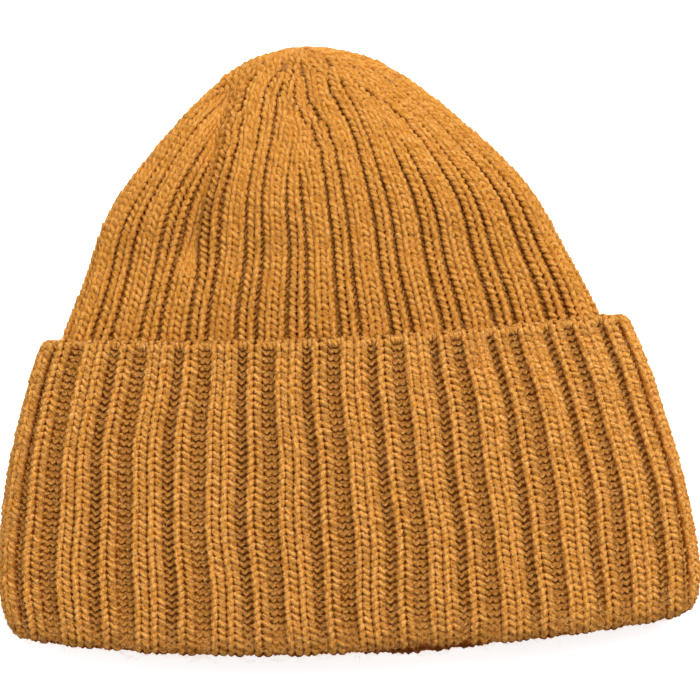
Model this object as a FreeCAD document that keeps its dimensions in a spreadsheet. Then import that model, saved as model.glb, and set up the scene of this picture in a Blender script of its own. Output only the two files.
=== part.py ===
import FreeCAD, Part
import math
import os

import Sketcher

# A rib-knit beanie with a turned-up cuff, lying on its back.
#
# The hat is one knitted tube. Its lower stretch turns back on itself at the mouth, so that a cuff
# stands outside an inner band. Every layer has the same kind of cross-section: a flat underside, two
# round side folds and a gently domed top. X runs across the hat, Y from the mouth to the crown and Z
# up from the surface that the hat lies on. Sizes are millimetres.

SIZES = {
    # Overall sizes of the hat as it lies
    "hat_height": 203.0,  # mouth to the top of the crown
    "cuff_width": 230.0,  # cuff at its widest, near the mouth
    "cuff_taper": 35.0,  # how much narrower the cuff is at its free edge
    "cuff_height": 105.0,  # mouth to the free edge, at the centre
    "lying_thickness": 33.0,  # front of the cuff to its back
    # The knit and the room between its layers
    "knit_wall": 4.0,
    "layer_gap": 1.6,
    "side_radius": 6.6,  # side fold of the inner band
    # The mouth and the free edge
    "fold_length": 22.0,  # how much of the mouth the rolled edge takes
    "fold_round": 3.6,
    "mouth_sag": 8.0,  # how much further the mouth's middle reaches than its corners
    "mouth_corner": 14.0,
    "edge_rise": 4.5,  # how much further the free edge reaches at its sides
    "chain_height": 2.2,
    "chain_proud": 0.6,
    # The inner band and the crown
    "join_tuck": 5.0,  # how far below the cuff's free edge the crown begins
    "crown_step": 8.0,  # how much narrower the crown's base is than the cuff's free edge
    "crown_top_width": 14.0,
    "crown_top_thickness": 11.0,
    "crown_bulge": 8.0,
    "crown_fullness": 1.1,
    "crown_lean": -7.0,  # how far the apex lies to one side
    "crown_settle": 0.35,  # share of the crown's length in which its back comes down
    # Seams and yarns
    "seam_width": 5.0,
    "seam_thickness": 1.0,
    "seam_clearance": 0.3,  # between the cuff's seam and the layers at each side
    "seam_rise": 0.6,  # between the back seam or the woven-in end and the knit under it
    "seam_offset": 10.0,  # how far the seams lie to one side of the back's middle
    "seam_end": 0.8,  # share of the crown's length where the seam ends
    "yarn_radius": 1.1,
    "draw_ring_radius": 3.2,
    "draw_clearance": 0.2,
    "end_length": 40.0,
    "end_offset": 6.0,
}

# Shares of the crown's length at which its cross-section is drawn.
CROWN_SHARES = (0, 0.1, 0.2, 0.3, 0.42, 0.55, 0.7, 0.82, 0.91, 0.97, 1)
HOLLOW_SHARES = CROWN_SHARES[:9]
# Shares of a band's or a cuff's length at which its cross-section is drawn.
LAYER_SHARES = (0, 0.3, 0.6, 0.8, 1)

doc = FreeCAD.newDocument("beanie")
sheet = doc.addObject("Spreadsheet::Sheet", "Sizes")
for row, (alias, number) in enumerate(SIZES.items(), start=1):
    sheet.set(f"A{row}", alias)
    sheet.set(f"B{row}", str(number))
    sheet.setAlias(f"B{row}", alias)
doc.recompute()

# Places and sizes that several pieces share, as expressions on the sheet.
OUTER_LAYER = "(Sizes.knit_wall + Sizes.layer_gap)"
BAND_THICKNESS = f"(Sizes.lying_thickness - 2 * {OUTER_LAYER})"
BAND_WIDTH = f"(Sizes.cuff_width - 2 * {OUTER_LAYER})"
CUFF_RADIUS = f"(Sizes.side_radius + {OUTER_LAYER})"
CUFF_TOP_WIDTH = "(Sizes.cuff_width - Sizes.cuff_taper)"
CROWN_BASE_WIDTH = f"({CUFF_TOP_WIDTH} - Sizes.crown_step)"
JOIN = "(Sizes.cuff_height - Sizes.join_tuck)"
DRAW_HEIGHT = "(2 * Sizes.yarn_radius + Sizes.draw_clearance)"
CROWN_LENGTH = f"(Sizes.hat_height - {JOIN} - {DRAW_HEIGHT})"
CHAIN_FOOT = "(Sizes.cuff_height - Sizes.chain_height)"
LAYER_END = "(Sizes.cuff_height + 2 * Sizes.edge_rise)"


def value(expression):
    """The number that an expression on the sheet comes to."""
    return float(sheet.evalExpression(expression.replace("Sizes.", "")))


def new_body(label):
    """An empty body with the origin at the middle of the hat's height."""
    body = doc.addObject("PartDesign::Body", label)
    body.Label = label
    body.setExpression("Placement.Base.y", "-Sizes.hat_height / 2")
    return body


def new_sketch(body, name, role, station="0", shift="0"):
    """A sketch on one of the body's own planes; on the XZ plane, station moves it along +Y."""
    sketch = body.newObject("Sketcher::SketchObject", name)
    plane = next(f for f in body.Origin.OriginFeatures if f.Role == role)
    sketch.AttachmentSupport = [(plane, "")]
    sketch.MapMode = "FlatFace"
    if role == "XZ_Plane":
        sketch.setExpression("AttachmentOffset.Base.x", shift)
        sketch.setExpression("AttachmentOffset.Base.z", f"-({station})")
    return sketch


def bind(sketch, constraint, name, expression):
    """Adds a driving dimension, and ties it to the sheet."""
    number = sketch.addConstraint(constraint)
    sketch.renameConstraint(number, name)
    sketch.setExpression(f"Constraints.{name}", expression)


def add_ring(sketch, tag, width, thickness, radius, lift):
    """One closed outline: a flat underside, two side folds and a domed top, all tangent.

    The dome's radius follows from the width and the thickness, because the side folds touch both
    the underside and the dome.
    """
    flat = f"({width} - 2 * {radius})"
    dome = f"({flat}^2 / 8 / ({thickness} - 2 * {radius}) + {thickness} / 2)"
    half, fold, low = value(flat) / 2, value(radius), value(lift)
    top = value(dome)
    rise = low + value(thickness) - top
    tilt = math.atan2(low + fold - rise, half)
    start = sketch.GeometryCount
    up = FreeCAD.Vector(0, 0, 1)
    right = Part.Circle(FreeCAD.Vector(half, low + fold, 0), up, fold)
    crest = Part.Circle(FreeCAD.Vector(0, rise, 0), up, top)
    left = Part.Circle(FreeCAD.Vector(-half, low + fold, 0), up, fold)
    ends = (FreeCAD.Vector(-half, low, 0), FreeCAD.Vector(half, low, 0))
    sketch.addGeometry(Part.LineSegment(*ends))
    sketch.addGeometry(Part.ArcOfCircle(right, -math.pi / 2, tilt))
    sketch.addGeometry(Part.ArcOfCircle(crest, tilt, math.pi - tilt))
    sketch.addGeometry(Part.ArcOfCircle(left, math.pi - tilt, 1.5 * math.pi))
    joint = Sketcher.Constraint
    line, right, crest, left = range(start, start + 4)
    sketch.addConstraint(joint("Tangent", line, 2, right, 1))
    sketch.addConstraint(joint("Tangent", right, 2, crest, 1))
    sketch.addConstraint(joint("Tangent", crest, 2, left, 1))
    sketch.addConstraint(joint("Tangent", left, 2, line, 1))
    sketch.addConstraint(joint("Symmetric", line, 1, line, 2, -2))
    sketch.addConstraint(joint("Equal", right, left))
    bind(sketch, joint("DistanceX", line, 1, line, 2, 2 * half), f"flat_{tag}", flat)
    bind(sketch, joint("DistanceY", -1, 1, line, 1, low), f"lift_{tag}", lift)
    bind(sketch, joint("Radius", right, fold), f"fold_{tag}", radius)
    bind(sketch, joint("Radius", crest, top), f"dome_{tag}", dome)


def shrink(width, thickness, radius, lift, wall="Sizes.knit_wall"):
    """The same outline, moved inwards by a wall."""
    return (
        f"({width} - 2 * {wall})",
        f"({thickness} - 2 * {wall})",
        f"({radius} - {wall})",
        f"({lift} + {wall})",
    )


def loft(body, kind, sections, ruled=False):
    """A loft through the sections, added to the body or cut from it."""
    feature = body.newObject(f"PartDesign::{kind}", kind)
    feature.Profile = sections[0]
    feature.Sections = sections[1:]
    feature.Ruled = ruled
    for sketch in sections:
        sketch.Visibility = False
    return feature


def crown_outline(share):
    """The crown's outer outline at a share of its length, and how far it leans there."""
    squares = f"({CROWN_BASE_WIDTH}^2 - Sizes.crown_top_width^2)"
    width = f"sqrt({CROWN_BASE_WIDTH}^2 - {squares} * {share}^Sizes.crown_fullness)"
    taper = f"({BAND_THICKNESS} - Sizes.crown_top_thickness) * {math.sqrt(1 - share**2):.4f}"
    bulge = f"Sizes.crown_bulge * {16 * share**2 * (1 - share) ** 2:.4f}"
    thickness = f"(Sizes.crown_top_thickness + {taper} + {bulge})"
    radius = f"(Sizes.side_radius * {thickness} / {BAND_THICKNESS})"
    settle = f"max(0; 1 - ({share} / Sizes.crown_settle)^3)^2"
    lift = f"({OUTER_LAYER} * {settle})"
    return width, thickness, radius, lift


def crown_station(share):
    return f"{JOIN} + {CROWN_LENGTH} * {share}"


def crown_sections(body, prefix, shares, inner):
    """The crown's cross-sections, outer or moved in by the wall."""
    sections = []
    for number, share in enumerate(shares):
        shift = f"Sizes.crown_lean * {share**2:.4f}"
        sketch = new_sketch(body, f"{prefix}{number}", "XZ_Plane", crown_station(share), shift)
        outline = crown_outline(share)
        add_ring(sketch, "skin", *(shrink(*outline) if inner else outline))
        sections.append(sketch)
    return sections


def layer_sections(body, start, end, outline, hollow):
    """Cross-sections of a tube with a wall, from start to end along +Y."""
    sections = []
    for number, share in enumerate(LAYER_SHARES):
        station = f"{start} + ({end} - {start}) * {share}"
        sketch = new_sketch(body, f"ring{number}", "XZ_Plane", station)
        add_ring(sketch, "outer", *outline(share))
        add_ring(sketch, "inner", *hollow(share))
        sections.append(sketch)
    return sections


def cuff_outline(share):
    """The cuff's outer outline: it narrows with the square of the height."""
    width = f"(Sizes.cuff_width - Sizes.cuff_taper * {share**2:.4f})"
    return width, "Sizes.lying_thickness", CUFF_RADIUS, "0"


def chain_outline(share):
    """The cast-on chain's outer outline, proud of the cuff except where it lies on the table."""
    width, thickness, radius, lift = cuff_outline(share)
    proud = "Sizes.chain_proud"
    return f"({width} + 2 * {proud})", f"({thickness} + {proud})", radius, lift


def cuff_hollow(share):
    return shrink(*cuff_outline(share))


def band_outline(share):
    """The inner band's outer outline, from the fold to the crown's base."""
    spread = f"({BAND_WIDTH} - {CROWN_BASE_WIDTH})"
    width = f"({BAND_WIDTH} - {spread} * {share**2:.4f})"
    return width, BAND_THICKNESS, "Sizes.side_radius", OUTER_LAYER


def band_hollow(share):
    return shrink(*band_outline(share))


def close_region(sketch, curve, reach, far):
    """Draws a chain of tangent arcs from left to right, and closes the region past it.

    reach is the half width of the region and far the Y of its straight end, both expressions.
    """
    size, end = value(reach), value(far)
    first, last = curve[0].StartPoint, curve[-1].EndPoint
    points = [
        last,
        FreeCAD.Vector(size, last.y, 0),
        FreeCAD.Vector(size, end, 0),
        FreeCAD.Vector(-size, end, 0),
        FreeCAD.Vector(-size, first.y, 0),
        first,
    ]
    lines = [Part.LineSegment(a, b) for a, b in zip(points, points[1:])]
    for piece in curve + lines:
        sketch.addGeometry(piece)
    arcs, count = len(curve), len(curve) + len(lines)
    for number in range(count):
        kind = "Tangent" if number < arcs - 1 else "Coincident"
        sketch.addConstraint(Sketcher.Constraint(kind, number, 2, (number + 1) % count, 1))
    corner = arcs + 2
    for number, kind in ((-2, "Horizontal"), (-1, "Vertical"), (1, "Vertical"), (2, "Horizontal")):
        sketch.addConstraint(Sketcher.Constraint(kind, corner + number))
    across = Sketcher.Constraint("DistanceX", corner, 2, corner, 1, 2 * size)
    bind(sketch, across, "across", f"2 * ({reach})")
    sketch.addConstraint(Sketcher.Constraint("Symmetric", corner, 1, corner, 2, -2))
    bind(sketch, Sketcher.Constraint("DistanceY", -1, 1, corner, 1, end), "far", far)


def arc_between(centre, radius, start, end):
    """An arc in the XY plane between two angles."""
    circle = Part.Circle(FreeCAD.Vector(*centre, 0), FreeCAD.Vector(0, 0, 1), radius)
    return Part.ArcOfCircle(circle, start, end)


def draw_free_edge(sketch, middle, side):
    """The free edge's arc: it passes the middle, and rises towards the hat's sides.

    side is 1 for the region past the edge and -1 for the region short of it.
    """
    half = f"({CUFF_TOP_WIDTH} / 2)"
    radius = f"(({half}^2 + Sizes.edge_rise^2) / 2 / Sizes.edge_rise)"
    reach = "Sizes.cuff_width / 2"
    low, size = value(middle), value(radius)
    lean = math.asin(value(reach) / size)
    curve = [arc_between((0, low + size), size, 1.5 * math.pi - lean, 1.5 * math.pi + lean)]
    close_region(sketch, curve, f"{reach} + Sizes.edge_rise", f"{side} * Sizes.hat_height")
    sketch.addConstraint(Sketcher.Constraint("Symmetric", 0, 1, 0, 2, -2))
    span = Sketcher.Constraint("DistanceX", 0, 1, 0, 2, 2 * value(reach))
    bind(sketch, span, "span", f"2 * {reach}")
    bind(sketch, Sketcher.Constraint("Radius", 0, size), "sweep", radius)
    deep = Sketcher.Constraint("DistanceY", -1, 1, 0, 3, low + size)
    bind(sketch, deep, "centre", f"{middle} + {radius}")


def draw_mouth(sketch):
    """The mouth's edge: a shallow arc that sags in the middle, with a round corner at each side."""
    half = "(Sizes.cuff_width / 2)"
    radius = f"(({half}^2 + Sizes.mouth_sag^2) / 2 / Sizes.mouth_sag)"
    size, corner = value(radius), value("Sizes.mouth_corner")
    # The corner arcs end a little outside the hat, so that they cross its side folds.
    outside = value(half) + value("Sizes.fold_round") - corner
    height = size - math.sqrt((size - corner) ** 2 - outside**2)
    tilt = math.atan2(outside, size - height)
    left = arc_between((-outside, height), corner, math.pi, 1.5 * math.pi - tilt)
    middle = arc_between((0, size), size, 1.5 * math.pi - tilt, 1.5 * math.pi + tilt)
    right = arc_between((outside, height), corner, 1.5 * math.pi + tilt, 2 * math.pi)
    reach = f"{half} + 4 * Sizes.fold_round"
    close_region(sketch, [left, middle, right], reach, "-Sizes.hat_height")
    joint = Sketcher.Constraint
    sketch.addConstraint(joint("Equal", 0, 2))
    bind(sketch, joint("Radius", 0, corner), "corner", "Sizes.mouth_corner")
    bind(sketch, joint("Radius", 1, size), "sweep", radius)
    sketch.addConstraint(joint("PointOnObject", 1, 3, -2))
    bind(sketch, joint("DistanceY", -1, 1, 1, 3, size), "centre", radius)
    side = f"{half} + Sizes.fold_round - Sizes.mouth_corner"
    bind(sketch, joint("DistanceX", -1, 1, 2, 3, outside), "right_side", side)
    bind(sketch, joint("DistanceX", 0, 3, -1, 1, outside), "left_side", side)
    sketch.addConstraint(joint("Horizontal", 2, 3, 2, 2))
    sketch.addConstraint(joint("Horizontal", 0, 3, 0, 1))


def trim(body, name, draw, *details):
    """Cuts a region of the XY plane right through the body, both ways."""
    sketch = new_sketch(body, name, "XY_Plane")
    draw(sketch, *details)
    doc.recompute()
    pocket = body.newObject("PartDesign::Pocket", f"{name}_cut")
    pocket.Profile = sketch
    pocket.Type = "ThroughAll"
    pocket.Midplane = True
    sketch.Visibility = False
    return pocket


def make_crown_knit():
    """The dome of knit above the cuff, closed at its apex."""
    body = new_body("crown_knit")
    loft(body, "AdditiveLoft", crown_sections(body, "outside", CROWN_SHARES, False))
    loft(body, "SubtractiveLoft", crown_sections(body, "inside", HOLLOW_SHARES, True))


def make_inner_band():
    """The tube's lower stretch, behind the cuff."""
    body = new_body("inner_band")
    sections = layer_sections(body, "Sizes.fold_length", JOIN, band_outline, band_hollow)
    loft(body, "AdditiveLoft", sections)


def make_turned_up_cuff():
    """The outer layer, up to the cast-on chain."""
    body = new_body("turned_up_cuff")
    sections = layer_sections(body, "Sizes.fold_length", LAYER_END, cuff_outline, cuff_hollow)
    loft(body, "AdditiveLoft", sections)
    trim(body, "free_edge", draw_free_edge, CHAIN_FOOT, 1)


def make_cast_on_edge():
    """The chain of cast-on loops along the cuff's free edge."""
    body = new_body("cast_on_edge")
    sections = layer_sections(body, "Sizes.fold_length", LAYER_END, chain_outline, cuff_hollow)
    loft(body, "AdditiveLoft", sections)
    trim(body, "chain_foot", draw_free_edge, CHAIN_FOOT, -1)
    trim(body, "chain_top", draw_free_edge, "Sizes.cuff_height", 1)


def make_cuff_fold():
    """The rolled edge at the mouth, two layers thick."""
    body = new_body("cuff_fold")
    sketch = new_sketch(body, "ring", "XZ_Plane")
    add_ring(sketch, "outer", *cuff_outline(0))
    add_ring(sketch, "inner", *band_hollow(0))
    pad = body.newObject("PartDesign::Pad", "Pad")
    pad.Profile = sketch
    pad.setExpression("Length", "Sizes.fold_length")
    pad.Reversed = True
    sketch.Visibility = False
    trim(body, "mouth", draw_mouth)
    doc.recompute()
    cut = body.Tip
    fillet = body.newObject("PartDesign::Fillet", "Roll")
    fillet.Base = (cut, mouth_edges(cut.Shape))
    fillet.setExpression("Radius", "Sizes.fold_round")


def mouth_edges(shape):
    """The names of the edges where the mouth's cut meets the ring's skins."""
    normals = [face.normalAt(*middle_of(face)) for face in shape.Faces]
    cuts = [face for face, normal in zip(shape.Faces, normals) if normal.y < -0.1]
    names = []
    for number, edge in enumerate(shape.Edges, start=1):
        touching = sum(any(edge.isSame(e) for e in face.Edges) for face in cuts)
        if touching == 1:
            names.append(f"Edge{number}")
    return names


def middle_of(face):
    """The middle of a face's range in its own two parameters."""
    low_u, high_u, low_v, high_v = face.ParameterRange
    return (low_u + high_u) / 2, (low_v + high_v) / 2


def make_back_seam():
    """The linked seam along the inside of the band and the crown, at the centre back."""
    body = new_body("back_seam")
    places = [("Sizes.fold_length", OUTER_LAYER, "Sizes.seam_offset")]
    for share in CROWN_SHARES:
        if share <= SIZES["seam_end"]:
            lift = crown_outline(share)[3]
            lean = f"Sizes.seam_offset + Sizes.crown_lean * {share**2:.4f}"
            places.append((crown_station(share), lift, lean))
    sections = []
    for number, (station, lift, shift) in enumerate(places):
        sketch = new_sketch(body, f"seam{number}", "XZ_Plane", station, shift)
        draw_seam(sketch, f"{lift} + Sizes.knit_wall + Sizes.seam_rise")
        sections.append(sketch)
    loft(body, "AdditiveLoft", sections, ruled=True)


def draw_seam(sketch, low):
    """The seam's rectangular cross-section, centred, with its underside at low."""
    half, bottom = value("Sizes.seam_width") / 2, value(low)
    top = bottom + value("Sizes.seam_thickness")
    corners = [(-half, bottom), (half, bottom), (half, top), (-half, top)]
    points = [FreeCAD.Vector(x, z, 0) for x, z in corners]
    for number in range(4):
        sketch.addGeometry(Part.LineSegment(points[number], points[(number + 1) % 4]))
    joint = Sketcher.Constraint
    for number in range(4):
        sketch.addConstraint(joint("Coincident", number, 2, (number + 1) % 4, 1))
    sketch.addConstraint(joint("Symmetric", 0, 1, 0, 2, -2))
    sketch.addConstraint(joint("Vertical", 1))
    sketch.addConstraint(joint("Vertical", 3))
    sketch.addConstraint(joint("Horizontal", 2))
    bind(sketch, joint("DistanceX", 0, 1, 0, 2, 2 * half), "wide", "Sizes.seam_width")
    bind(sketch, joint("DistanceY", 1, 1, 1, 2, top - bottom), "thick", "Sizes.seam_thickness")
    bind(sketch, joint("DistanceY", -1, 1, 0, 1, bottom), "low", low)


def make_cuff_seam():
    """The cuff's linked seam, hidden between the cuff and the band."""
    box = doc.addObject("Part::Box", "cuff_seam")
    box.Label = "cuff_seam"
    box.setExpression("Length", "Sizes.seam_width")
    box.setExpression("Width", f"{JOIN} - Sizes.fold_length")
    box.setExpression("Height", "Sizes.seam_thickness")
    box.setExpression("Placement.Base.x", "Sizes.seam_offset - Sizes.seam_width / 2")
    box.setExpression("Placement.Base.y", "Sizes.fold_length - Sizes.hat_height / 2")
    box.setExpression("Placement.Base.z", "Sizes.knit_wall + Sizes.seam_clearance")


def make_crown_draw_yarn():
    """The yarn that draws the last stitches together, a small ring at the apex."""
    ring = doc.addObject("Part::Torus", "crown_draw_yarn")
    ring.Label = "crown_draw_yarn"
    ring.setExpression("Radius1", "Sizes.draw_ring_radius")
    ring.setExpression("Radius2", "Sizes.yarn_radius")
    ring.Placement.Rotation = FreeCAD.Rotation(FreeCAD.Vector(1, 0, 0), 90)
    ring.setExpression("Placement.Base.x", "Sizes.crown_lean")
    ring.setExpression("Placement.Base.y", "Sizes.hat_height / 2 - Sizes.yarn_radius")
    ring.setExpression("Placement.Base.z", "Sizes.crown_top_thickness / 2")


def make_woven_in_end():
    """The drawing-up yarn's end, darned in beside the back seam."""
    end = doc.addObject("Part::Cylinder", "woven_in_end")
    end.Label = "woven_in_end"
    end.setExpression("Radius", "Sizes.yarn_radius")
    end.setExpression("Height", "Sizes.end_length")
    end.Placement.Rotation = FreeCAD.Rotation(FreeCAD.Vector(1, 0, 0), 90)
    last = f"{JOIN} + {CROWN_LENGTH} * {HOLLOW_SHARES[-2]}"
    end.setExpression("Placement.Base.x", "Sizes.seam_offset + Sizes.end_offset")
    end.setExpression("Placement.Base.y", f"{last} - Sizes.hat_height / 2")
    above = "Sizes.knit_wall + Sizes.yarn_radius + Sizes.seam_rise"
    end.setExpression("Placement.Base.z", above)


def check_and_write():
    """Stops at a failed object or a bad shape, and writes each piece under its label."""
    doc.recompute()
    for item in doc.Objects:
        if "Invalid" in item.State or "Error" in item.State:
            raise RuntimeError(f"{item.Label} failed: {item.State}")
    kinds = ("PartDesign::Body", "Part::Box", "Part::Torus", "Part::Cylinder")
    os.makedirs("parts", exist_ok=True)
    for item in doc.Objects:
        if item.TypeId in kinds:
            shape = item.Shape
            if shape.isNull() or not shape.isValid() or len(shape.Solids) != 1:
                raise RuntimeError(f"{item.Label} has a bad shape")
            shape.exportStep(f"parts/{item.Label}.step")
            print(f"{item.Label}: {shape.Volume / 1000:.1f} cm3, {shape.BoundBox}")


make_crown_knit()
make_inner_band()
make_turned_up_cuff()
make_cast_on_edge()
make_cuff_fold()
make_back_seam()
make_cuff_seam()
make_crown_draw_yarn()
make_woven_in_end()
check_and_write()
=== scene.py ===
"""A knit beanie with a turned-up cuff, laid flat, made course by course from loops of yarn."""

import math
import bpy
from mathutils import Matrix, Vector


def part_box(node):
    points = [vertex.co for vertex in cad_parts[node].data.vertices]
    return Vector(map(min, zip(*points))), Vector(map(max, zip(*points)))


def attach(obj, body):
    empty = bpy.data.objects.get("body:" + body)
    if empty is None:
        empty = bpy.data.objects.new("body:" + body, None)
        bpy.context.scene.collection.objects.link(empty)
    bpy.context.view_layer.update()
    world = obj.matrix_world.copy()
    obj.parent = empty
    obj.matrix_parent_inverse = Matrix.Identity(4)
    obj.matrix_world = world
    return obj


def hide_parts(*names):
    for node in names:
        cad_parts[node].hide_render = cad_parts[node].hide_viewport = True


bl_info = {
    "name": "Ribbed Knit Beanie",
    "version": (1, 0, 0),
    "blender": (4, 5, 0),
    "location": "View3D > Sidebar > Beanie",
    "description": "Knits a ribbed wool hat round its packed frame",
    "category": "Add Mesh",
}

import bpy
import numpy as np

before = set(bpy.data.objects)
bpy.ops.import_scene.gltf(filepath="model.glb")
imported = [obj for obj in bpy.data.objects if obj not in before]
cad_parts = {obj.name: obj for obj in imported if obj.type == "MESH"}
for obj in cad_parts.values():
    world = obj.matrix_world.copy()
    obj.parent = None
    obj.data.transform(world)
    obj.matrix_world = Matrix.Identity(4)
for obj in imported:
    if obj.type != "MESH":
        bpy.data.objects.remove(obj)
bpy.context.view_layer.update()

MM = 0.001
WALES = 126
REPEATS = WALES // 6
# Wale types round the hat, as its right side shows them: knit +1, purl -1, in 21 repeats of six.
TYPES = np.tile([1.0, 1.0, -1.0, -1.0, 1.0, -1.0], REPEATS)
# How wide those six lie beside each other, as shares: only their proportions count.
CROWN_WIDTHS = np.tile([4.25, 4.25, 0.7, 0.7, 5.3, 1.4], REPEATS)
CUFF_WIDTHS = np.tile([2.05, 2.05, 4.7, 4.7, 2.8, 5.7], REPEATS)
# How much wider than even the ribs lie along the middle of the front, and towards its right side.
CUFF_CROWDING = (0.0, -0.08)
CROWN_CROWDING = (-0.08, 0.05)
# Courses that curl over the free edge, of the cuff, of the fold, and from there to the top, with the crown's
# among them. Course 0 is the cuff's first, and LAST is the one at the top.
RIM, CUFF, ROLL, INNER = 3, 42, 4, 94
CROWN = 58
LAST = CUFF + ROLL + INNER
# Courses in which the inner band passes from the cuff's rib widths to the crown's.
PASSING = 34.0
# How far below the top each pair of wales beside a dart's middle ends, in courses.
DARTS = (21.0, 17.0, 13.5, 10.5, 8.0, 6.0, 4.2, 2.8)
DART_COUNT = 7
# Height of a course, room between the cuff and the inner band, radius of the lying cuff's side, and how far
# the ply pattern shifts from course to course, in millimetres.
COURSE, GAP, SIDE, PLY_SHIFT = 2.25, 5.6, 12.2, 37.0
# Points along a stitch and round the yarn, where the knit is seen and where it is hidden.
FINE, COARSE = (9, 6), (7, 4)
SEED = 7100
# Sockets of a colour mix node.
COLOUR_A, COLOUR_B, COLOUR_OUT = 6, 7, 2


def low(node):
    """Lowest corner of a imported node, in millimetres."""
    return [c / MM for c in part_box(node)[0]]


def high(node):
    """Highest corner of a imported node, in millimetres."""
    return [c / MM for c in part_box(node)[1]]


# ---------------------------------------------------------------- settings


def number(name, description, default, **ways):
    """A setting that is one number."""
    return bpy.props.FloatProperty(name=name, description=description, default=default, **ways)


def tint(name, description, default):
    """A setting that is a colour."""
    return bpy.props.FloatVectorProperty(
        name=name, description=description, size=3, subtype="COLOR", default=default
    )


class BeanieShape(bpy.types.PropertyGroup):
    """Sizes of the hat as it lies, in millimetres."""

    cuff_width: number("Cuff width", "Full width across the mouth", 2 * high("turned_up_cuff")[0] + 2.8)
    cuff_taper: number("Cuff taper", "How much narrower the cuff is at its free edge", 42.5)
    cuff_thickness: number("Thickness at the cuff", "All four layers together", high("turned_up_cuff")[2])
    mouth: number("Mouth", "Where the folded edge lies at its middle", low("cuff_fold")[1])
    mouth_sag: number("Mouth curve", "How far the fold rises towards its ends", 7.0)
    mouth_corner: number("Mouth corner", "Radius of the two lower corners", 5.5)
    free_edge: number("Free edge", "Where the cuff's free edge lies at its middle", low("cast_on_edge")[1])
    crown_base: number("Crown base", "Where the inner band becomes the crown", low("crown_knit")[1])
    crown_width: number("Crown width", "Full width of the crown at its base", 2 * high("crown_knit")[0])
    top: number("Top", "Highest point of the outline", high("crown_draw_yarn")[1] + 1.0)
    lean: number("Top lean", "How far the top lies to one side", -8.0)


class BeanieYarn(bpy.types.PropertyGroup):
    """How the yarn is looped, in millimetres unless it says otherwise."""

    radius: number("Yarn radius", "Half the yarn's thickness", 1.08)
    depth: number("Loop depth", "How far legs and heads stand off the middle of the cloth", 0.80)
    swing: number("Loop swing", "How far a leg leans across its wale, as part of the wale", 0.225)
    reach: number("Loop reach", "Half a loop's height, in courses", 0.78)
    skew: number("Loop skew", "Slant that makes one leg of a crown stitch steeper than the other", 0.10)
    cuff_skew: number("Cuff loop skew", "The same slant on the cuff, where one leg is nearly upright", 0.14)
    tilt: number("Loop tilt", "How far a loop's foot stands above its head", 0.2)
    rib_rise: number("Rib height", "How far ribs rise from the cloth's middle", 1.35)
    squash: number("Squash", "How much the yarn is pressed narrower by its neighbours", 0.10)
    unevenness: number("Unevenness", "Share by which one stitch differs from the next", 0.06)


class BeanieColour(bpy.types.PropertyGroup):
    """Wool colours, linear light."""

    wool: tint("Wool", "Main colour", (0.650, 0.255, 0.018))
    # Painted shade: this colour is mixed into the wool where the yarn lies low between the ribs.
    shade: tint("Deep wool", "Colour between the ribs", (0.270, 0.100, 0.014))
    pale: tint("Pale fibre", "Lighter fibres and the stray hairs", (0.900, 0.540, 0.200))


class BeanieStage(bpy.types.PropertyGroup):
    """Camera, floor and light."""

    lens: number("Lens", "Focal length in millimetres", 100.0)
    turn: number("Turn", "How far the hat lies turned in the picture", math.radians(2.6), subtype="ANGLE")
    span: number("Span", "Width that the picture takes in, in millimetres", 231.0)
    sky: number("Sky", "Strength of the even light", 0.42)
    lamp: number("Lamp", "Power of the soft overhead lamp", 18.5, subtype="POWER")


# ---------------------------------------------------------------- the cloth


def unit(v):
    """Vectors divided by their own length."""
    return v / np.maximum(np.linalg.norm(v, axis=-1, keepdims=True), 1e-12)


def soft(v):
    """Smooth step from 0 to 1."""
    v = np.clip(v, 0, 1)
    return v * v * (3 - 2 * v)


def bell(v, middle, spread):
    """1 at the middle, falling off on both sides as exp(-x squared)."""
    return np.exp(-(((v - middle) / spread) ** 2))


def ring(width, thick, corner, lift, s, grow=0.0):
    """A section across the lying hat: a flat underside, an arc of radius corner at each side and a dome
    over the top that is tangent to both. s runs from 0 at the middle of the underside, over the left side,
    0.5 at the middle of the top, and back. It is the share of the way round the same section when it is
    grown outwards by grow. Returns x and z.
    """
    half = width / 2 - corner
    dome = half**2 / 2 / (thick - 2 * corner) + thick / 2
    tilt = np.arctan2(corner - thick + dome, half)
    side = (corner + grow) * (np.pi / 2 + tilt)
    over = (dome + grow) * (np.pi / 2 - tilt)
    way = np.minimum(s, 1 - s) * 2 * (half + side + over)
    a = np.clip((way - half) / (corner + grow), 0, np.pi / 2 + tilt) - np.pi / 2
    b = tilt + np.clip((way - half - side) / (dome + grow), 0, np.pi / 2 - tilt)
    below, beside = way < half, way < half + side
    x = np.where(below, way, np.where(beside, half + corner * np.cos(a), dome * np.cos(b)))
    z = np.where(below, 0.0, np.where(beside, corner + corner * np.sin(a), thick - dome + dome * np.sin(b)))
    return np.where(s < 0.5, -x, x), z + lift


def grid_normal(p):
    """Cross product of a grid's two directions, the first along its columns and the second round it,
    closed.
    """
    along = np.gradient(p, axis=0)
    around = (np.roll(p, -1, 1) - np.roll(p, 1, 1)) / 2
    return unit(np.cross(around, along))


def border(p, row, sign):
    """Outward normal of a grid's end row, and the direction that leaves the grid there, towards sign along
    y.
    """
    out = unit(-grid_normal(p)[row])
    away = unit(np.cross(out, unit(np.roll(p[row], -1, 0) - np.roll(p[row], 1, 0))))
    return out, away * np.sign(sign * away[:, 1:2] + 1e-9)


def even_rows(p, targets):
    """Slides the points of every column of a grid so that they lie at the given lengths along it."""
    steps = np.linalg.norm(np.diff(p, axis=0), axis=2)
    length = np.vstack([np.zeros(p.shape[1]), np.cumsum(steps, axis=0)])
    want = targets(length[-1])
    out = np.empty((want.shape[0], p.shape[1], 3))
    for c in range(p.shape[1]):
        for k in range(3):
            out[:, c, k] = np.interp(want[:, c], length[:, c], p[:, c, k])
    return out


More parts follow.
